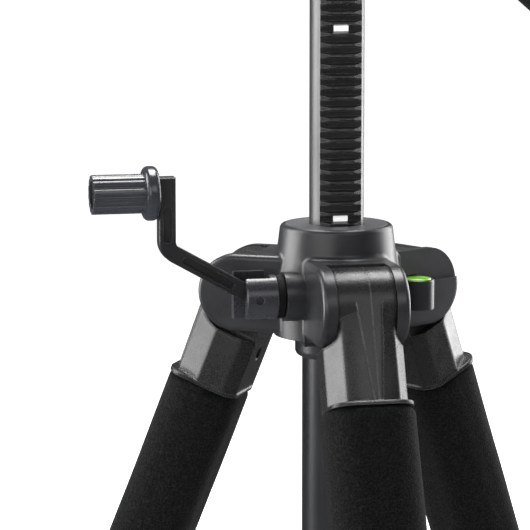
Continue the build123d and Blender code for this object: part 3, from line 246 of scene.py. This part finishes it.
def rubber(name, color=(0.014, 0.014, 0.014), rough=0.7):
    """Dull black rubber with a fine grain."""
    n = Nodes(name)
    fine = n.noise(1400, 3, 0.6)
    broad = n.noise(70, 4)
    n.link(n.mix(n.ramp(broad, 0.3, 0.7), tuple(c * 0.7 for c in color), tuple(c * 1.6 for c in color)),
           n.shader.inputs["Base Color"])
    n.link(n.ramp(fine, 0.3, 0.7, rough - 0.08, rough + 0.08), n.shader.inputs["Roughness"])
    n.link(n.bump(fine, 0.00006, 1.0, 0.0004), n.shader.inputs["Normal"])
    return n


def steel(name, color=(0.42, 0.42, 0.42), rough=0.34):
    """Turned steel with fine irregular marks."""
    n = Nodes(name)
    lines = n.noise(2200, 3, 0.7)
    broad = n.noise(120, 3)
    dark = tuple(c * 0.75 for c in color)
    light = tuple(min(1.0, c * 1.2) for c in color)
    n.link(n.mix(n.ramp(lines, 0.3, 0.7), dark, light), n.shader.inputs["Base Color"])
    slow = n.ramp(broad, 0.3, 0.7, rough - 0.06, rough + 0.08)
    n.link(n.math("ADD", slow, n.ramp(lines, 0.3, 0.7, -0.04, 0.05)), n.shader.inputs["Roughness"])
    n.shader.inputs["Metallic"].default_value = 1.0
    n.link(n.bump(lines, 0.00002, 1.0, 0.0002), n.shader.inputs["Normal"])
    return n


def vial_material(name):
    """Bright green liquid under a clear dome, with a faint painted glow."""
    n = Nodes(name)
    depth = n.noise(160, 2)
    green = n.mix(n.ramp(depth, 0.3, 0.7), (0.16, 0.5, 0.02), (0.4, 0.85, 0.08))
    n.link(green, n.shader.inputs["Base Color"])
    n.link(n.ramp(depth, 0.3, 0.7, 0.06, 0.14), n.shader.inputs["Roughness"])
    # A faint green emission: a painted glow, for the liquid gives no light of its own.
    n.shader.inputs["Emission Color"].default_value = (0.3, 0.75, 0.04, 1.0)
    n.shader.inputs["Emission Strength"].default_value = 0.12
    n.shader.inputs["Coat Weight"].default_value = 0.8
    n.shader.inputs["Coat Roughness"].default_value = 0.04
    return n


def paint_white(name):
    """White marking paint, a little chipped, with a painted glow that brightens it."""
    n = Nodes(name)
    chips = n.noise(1500, 3, 0.7)
    white = n.mix(n.ramp(chips, 0.62, 0.7), (0.95, 0.95, 0.94), (0.6, 0.6, 0.59))
    n.link(white, n.shader.inputs["Base Color"])
    n.link(n.ramp(chips, 0.3, 0.7, 0.45, 0.65), n.shader.inputs["Roughness"])
    # Emission: a painted glow that makes the marks read brighter; the paint gives no light.
    n.shader.inputs["Emission Color"].default_value = (1.0, 1.0, 0.98, 1.0)
    n.shader.inputs["Emission Strength"].default_value = 0.5
    n.link(n.bump(chips, 0.00004), n.shader.inputs["Normal"])
    return n


SHOULDER = moulded("shoulder_plastic", (0.0165, 0.0172, 0.019), rough=0.34, wear_and_highlight=(0.14, 0.14, 0.145)).material
CAP = moulded("cap_plastic", (0.065, 0.066, 0.07), rough=0.42, grain=1100, depth=0.00006).material
HUB = moulded("hub_paint", (0.024, 0.025, 0.029), rough=0.28, grain=1900, depth=0.00002,
              wear_and_highlight=(0.3, 0.3, 0.33)).material
ARM = moulded("arm_plastic", (0.012, 0.0125, 0.0135), rough=0.34, grain=1700, depth=0.00003).material
LOCK = moulded("lock_plastic", (0.02, 0.0205, 0.021), rough=0.46).material
KNOB = moulded("knob_plastic", (0.026, 0.028, 0.033), rough=0.2, grain=1500, depth=0.00001,
               wear_and_highlight=(0.2, 0.2, 0.23), mottle=0.12).material
RACK = moulded("rack_plastic", (0.014, 0.0145, 0.015), rough=0.3, grain=1600, depth=0.00004,
               wear_and_highlight=(0.4, 0.4, 0.4)).material
KNUCKLE = metallic_paint("knuckle_paint", (0.024, 0.024, 0.0238), rough=0.29, metallic=0.45).material
COLUMN = drawn_metal("column_anodised", (0.075, 0.075, 0.0755), rough=0.36).material
OUTER = drawn_metal("outer_tube_anodised", (0.014, 0.0152, 0.017), rough=0.34, metallic=0.12).material
RUBBER = rubber("black_rubber").material
RING = rubber("friction_washer", (0.001, 0.001, 0.001), rough=0.9).material
STEEL = steel("blackened_steel", (0.06, 0.06, 0.062)).material
FOAM = foam_material("foam_skin").material
VIAL = vial_material("vial_green_painted_glow").material
WHITE = paint_white("marking_paint_painted_glow").material


def grain_along(rotation):
    """The turn that brings a piece's own length, its Z before this rotation, back to Z."""
    return tuple(rotation.to_3x3().inverted().to_euler("XYZ"))


LEG_TUBES = {
    n: drawn_metal(
        f"leg_{n}_anodised", (0.05, 0.052, 0.055), rough=0.36, metallic=0.5,
        turn=grain_along(leg_matrix(turn)),
    ).material
    for n, turn in LEG_TURN.items()
}
HANDLE_ALONG = Vector(joints["handle_twist"]["axis"]).normalized()
ROD = drawn_metal(
    "handle_rod_anodised", (0.03, 0.0325, 0.036), rough=0.32, metallic=0.4,
    turn=grain_along(HANDLE_ALONG.to_track_quat("Z", "X").to_matrix()),
).material

FINISH = {
    "shoulder_casting": SHOULDER, "column_cap": CAP, "outer_tube": OUTER, "tube_end_cap": LOCK,
    "leg_hinge_pins": STEEL, "level_housing": SHOULDER, "level_vial": VIAL, "column_tube": COLUMN,
    "gear_rack": RACK, "head_base": SHOULDER, "pinion_shaft": STEEL, "friction_ring": RING,
    "crank_hub": HUB, "crank_pin": HUB, "crank_arm": ARM, "knob_axle": STEEL, "crank_knob": KNOB,
    "brace_hub": LOCK, "pan_body": SHOULDER, "pan_knob": LOCK, "tilt_body": SHOULDER,
    "handle_socket": SHOULDER, "quick_plate": LOCK, "plate_screw": STEEL, "release_lever": LOCK,
    "handle_rod": ROD, "handle_grip": FOAM,
}
for n in LEG_TURN:
    FINISH.update({
        f"leg_{n}_knuckle": KNUCKLE, f"leg_{n}_upper_tube": LEG_TUBES[n],
        f"leg_{n}_foam_grip": FOAM, f"leg_{n}_upper_lock": LOCK, f"leg_{n}_upper_lever": LOCK,
        f"leg_{n}_middle_tube": LEG_TUBES[n], f"leg_{n}_lower_lock": LOCK,
        f"leg_{n}_lower_lever": LOCK, f"leg_{n}_lower_tube": LEG_TUBES[n],
        f"leg_{n}_foot": RUBBER, f"leg_{n}_strut": OUTER,
    })
for name, node in nodes.items():
    node.data.materials.clear()
    node.data.materials.append(FINISH[name])
    if "Smooth by Angle" not in node.modifiers:
        node.data.polygons.foreach_set("use_smooth", [True] * len(node.data.polygons))
        node.data.update()

# --- Mesh helpers ------------------------------------------------------------------------------


def finish_piece(name, mesh, matrix, material, body, smooth=True):
    """Makes a piece from a bmesh, drawn in its own frame and placed by the matrix."""
    data = bpy.data.meshes.new(name)
    bmesh.ops.recalc_face_normals(mesh, faces=mesh.faces)
    mesh.to_mesh(data)
    mesh.free()
    data.transform(matrix)
    if smooth:
        data.polygons.foreach_set("use_smooth", [True] * len(data.polygons))
    data.materials.append(material)
    piece = bpy.data.objects.new(name, data)
    scene.collection.objects.link(piece)
    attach(piece, body)
    return piece


def rounded_outline(width, depth, corner, count):
    """Points round a rounded rectangle, evenly spaced along it, from the middle of the +x side."""
    dense = []
    for quarter, (sx, sy) in enumerate(((1, 1), (-1, 1), (-1, -1), (1, -1))):
        for step in range(33):
            a = math.pi / 2 * (quarter + step / 32)
            dense.append((
                sx * (width / 2 - corner) + corner * math.cos(a),
                sy * (depth / 2 - corner) + corner * math.sin(a),
            ))
    dense.append(dense[0])
    lengths = [0.0]
    for a, b in zip(dense, dense[1:]):
        lengths.append(lengths[-1] + math.dist(a, b))
    points, k = [], 0
    for i in range(count):
        want = lengths[-1] * i / count
        while lengths[k + 1] < want:
            k += 1
        t = (want - lengths[k]) / max(lengths[k + 1] - lengths[k], 1e-12)
        points.append(tuple(a + (b - a) * t for a, b in zip(dense[k], dense[k + 1])))
    return points


def loft(rings):
    """A closed skin over rings of equally many points, whose last ring joins the first."""
    mesh = bmesh.new()
    layers = [[mesh.verts.new(p) for p in ring] for ring in rings]
    count = len(layers[0])
    for k, layer in enumerate(layers):
        other = layers[(k + 1) % len(layers)]
        for i in range(count):
            j = (i + 1) % count
            mesh.faces.new((layer[i], layer[j], other[j], other[i]))
    return mesh


def wobble(a, z, seed):
    """A small slow unevenness, from -1 to 1, for soft surfaces."""
    return (
        math.sin(3 * a + 41 * z + seed) * 0.5
        + math.sin(5 * a - 67 * z + 2.1 * seed) * 0.3
        + math.sin(2 * a + 113 * z + 3.7 * seed) * 0.2
    )


def foam_sleeve(name, outline, bore, top, base, lip, seed, matrix, body, node):
    """A foam sleeve: a closed skin with rolled ends, a little uneven along its length."""
    rings = []
    steps = 60
    roll = [math.pi / 2 * k / 6 for k in range(7)]
    profile = [(top, -lip * 0.9)]
    profile += [(top - lip + lip * math.cos(a), -lip + lip * math.sin(a)) for a in roll]
    profile += [(top - lip - (top - base - 2 * lip) * k / steps, 0.0) for k in range(1, steps)]
    profile += [(base + lip - lip * math.sin(a), -lip + lip * math.cos(a)) for a in roll]
    for z, inset in profile:
        ring = []
        for i, (x, y) in enumerate(outline):
            a = 2 * math.pi * i / len(outline)
            size = math.hypot(x, y)
            out = (inset + 0.00022 * wobble(a, z, seed)) / size
            ring.append((x * (1 + out), y * (1 + out), z))
        rings.append(ring)
    for z in (base + 0.0002, (top + base) / 2, top - 0.0002):
        rings.append([(x, y, z) for x, y in bore])
    piece = finish_piece(name, loft(rings), matrix, FOAM, body)
    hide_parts(node)
    return piece


AROUND = 96  # points round each sleeve
FOAM_WIDTH, FOAM_DEPTH, FOAM_CORNER = 0.0412, 0.035, 0.0154
FOAM_TOP, FOAM_BASE = -0.0477, -0.225
LIP = 0.0034  # how far the sleeve's ends roll in
for n, turn in LEG_TURN.items():
    foam_sleeve(
        f"leg_{n}_foam", rounded_outline(FOAM_WIDTH, FOAM_DEPTH, FOAM_CORNER, AROUND),
        rounded_outline(0.0302, 0.0272, 0.0091, AROUND), FOAM_TOP, FOAM_BASE, LIP, 1.7 * n,
        leg_matrix(turn), f"leg_{n}", f"leg_{n}_foam_grip",
    )


HANDLE_UNEVEN = 0.012


def round_outline(radius, count):
    """Points round a circle."""
    return [
        (radius * math.cos(2 * math.pi * i / count), radius * math.sin(2 * math.pi * i / count))
        for i in range(count)
    ]


def handle_foam():
    """The pan handle's foam grip: slightly barrel-shaped, with a closed rounded end."""
    start = Vector(joints["handle_twist"]["pos_m"])
    matrix = Matrix.Translation(start) @ HANDLE_ALONG.to_track_quat("Z", "X").to_matrix().to_4x4()
    rings = []
    profile = [(0.1025, 0.0046), (0.1022, 0.0095), (0.1026, 0.0112), (0.104, 0.0121)]
    for k in range(41):
        t = k / 40
        profile.append((0.106 + 0.1 * t, 0.01235 + 0.00015 * math.sin(math.pi * t)))
    profile += [(0.2085, 0.0121), (0.2112, 0.0109), (0.2132, 0.0086), (0.2139, 0.0052), (0.214, 0.0012)]
    profile += [(0.2005, 0.0012), (0.2002, 0.0046)]
    for z, radius in profile:
        ring = []
        for i, (x, y) in enumerate(round_outline(radius, AROUND)):
            swell = 1 + HANDLE_UNEVEN * wobble(2 * math.pi * i / AROUND, z, 5)
            ring.append((x * swell, y * swell, z))
        rings.append(ring)
    piece = finish_piece("handle_foam", loft(rings), matrix, FOAM, "handle")
    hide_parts("handle_grip")


handle_foam()

# --- White height marks in two of the rack's gaps ------------------------------------------------

MARKED_GAPS = (7, 25)  # counted up from the hinge axes' level
MARK_HALF_WIDTH, MARK_HALF_HEIGHT, MARK_THICKNESS = 0.0033, 0.0012, 0.0003
MARK_Y = -0.00742  # the floor of the rack's gaps

for gap in MARKED_GAPS:
    mesh = bmesh.new()
    bmesh.ops.create_grid(mesh, x_segments=8, y_segments=4, size=1.0)
    bmesh.ops.scale(mesh, vec=(MARK_HALF_WIDTH, MARK_HALF_HEIGHT, 1.0), verts=mesh.verts)
    thick = bmesh.ops.extrude_face_region(mesh, geom=mesh.faces[:])
    tops = [v for v in thick["geom"] if isinstance(v, bmesh.types.BMVert)]
    bmesh.ops.translate(mesh, vec=(0, 0, MARK_THICKNESS), verts=tops)
    centre = Vector((0, MARK_Y, HINGE_Z + gap * TOOTH_PITCH))
    matrix = Matrix.Translation(centre) @ Matrix.Rotation(math.pi / 2, 4, "X")
    finish_piece(f"height_mark_{gap}", mesh, matrix, WHITE, "column", smooth=False)

# --- Stage, light and camera ---------------------------------------------------------------------

floor_mesh = bpy.data.meshes.new("floor")
SIZE = 16.0  # the floor's half width
floor_mesh.from_pydata(
    [(-SIZE, -SIZE, FLOOR_Z), (SIZE, -SIZE, FLOOR_Z), (SIZE, SIZE, FLOOR_Z), (-SIZE, SIZE, FLOOR_Z)],
    [], [(0, 1, 2, 3)],
)
floor = bpy.data.objects.new("floor", floor_mesh)
scene.collection.objects.link(floor)
paper = Nodes("floor_paper")
paper_white = paper.mix(paper.noise(9, 4), (0.86, 0.86, 0.86), (0.9, 0.9, 0.9))
paper.link(paper_white, paper.shader.inputs["Base Color"])
paper.link(paper.ramp(paper.noise(300, 3), 0.3, 0.7, 0.85, 0.95), paper.shader.inputs["Roughness"])
paper.shader.inputs["Emission Color"].default_value = (1, 1, 1, 1)
paper.shader.inputs["Emission Strength"].default_value = 0.95
floor.data.materials.append(paper.material)
floor.visible_glossy = False

WORLD_FILL = 0.09  # what lights the object
WORLD_SHOWN = 1.05  # what the camera sees behind it

world = bpy.data.worlds.new("studio")
scene.world = world
world.use_nodes = True
tree = world.node_tree
back = tree.nodes["Background"]
back.inputs["Color"].default_value = (1, 1, 1, 1)
path = tree.nodes.new("ShaderNodeLightPath")
dim = tree.nodes.new("ShaderNodeMix")
tree.links.new(path.outputs["Is Camera Ray"], dim.inputs["Factor"])
dim.inputs[2].default_value = WORLD_FILL
dim.inputs[3].default_value = WORLD_SHOWN
tree.links.new(dim.outputs[0], back.inputs["Strength"])


def softbox(name, at, target, width, height, power, color=(1, 1, 1)):
    light = bpy.data.lights.new(name, "AREA")
    light.shape = "RECTANGLE"
    light.size, light.size_y = width, height
    light.energy = power
    light.color = color
    lamp = bpy.data.objects.new(name, light)
    scene.collection.objects.link(lamp)
    lamp.location = at
    lamp.rotation_mode = "QUATERNION"
    lamp.rotation_quaternion = (Vector(target) - Vector(at)).to_track_quat("-Z", "Y")
    return lamp


VIEW_AZIMUTH, VIEW_ELEVATION = math.radians(-12.2), math.radians(8.7)
right = Vector((math.cos(VIEW_AZIMUTH), math.sin(VIEW_AZIMUTH), 0))
back_way = Vector((
    math.sin(VIEW_AZIMUTH) * math.cos(VIEW_ELEVATION),
    -math.cos(VIEW_AZIMUTH) * math.cos(VIEW_ELEVATION),
    math.sin(VIEW_ELEVATION),
))
up = back_way.cross(right)
front = Vector((back_way.x, back_way.y, 0)).normalized()
middle = Vector((0, 0, HINGE_Z))


def around(degrees, distance, height):
    """A point this many degrees to the right of the camera's side of the object."""
    a = math.radians(degrees)
    return middle + (front * math.cos(a) + right * math.sin(a)) * distance + Vector((0, 0, height))


softbox("softbox_left", around(-98, 1.5, 0.35), middle, 1.0, 1.4, 40)
softbox("softbox_right", around(126, 1.5, 0.35), middle, 1.2, 1.4, 34)
softbox("softbox_top", around(180, 0.5, 1.6), middle, 1.0, 1.0, 60)
softbox("softbox_front", around(-28, 2.2, 0.6), middle, 1.8, 1.2, 18)
softbox("softbox_fill", around(24, 2.4, 1.2), middle, 1.4, 1.0, 9)

camera = bpy.data.objects.new("camera", bpy.data.cameras.new("camera"))
scene.collection.objects.link(camera)
target = middle - 0.032 * right + 0.0108 * up
DISTANCE = 1.4
SENSOR = 36.0
FIELD = 0.2385  # width of the view at the object
camera.location = target + back_way * DISTANCE
camera.rotation_mode = "QUATERNION"
camera.rotation_quaternion = (-back_way).to_track_quat("-Z", "Y")
camera.data.sensor_width = SENSOR
camera.data.lens = SENSOR * DISTANCE / FIELD
camera.data.clip_start, camera.data.clip_end = 0.05, 60.0
scene.camera = camera
scene.view_settings.view_transform = "Standard"
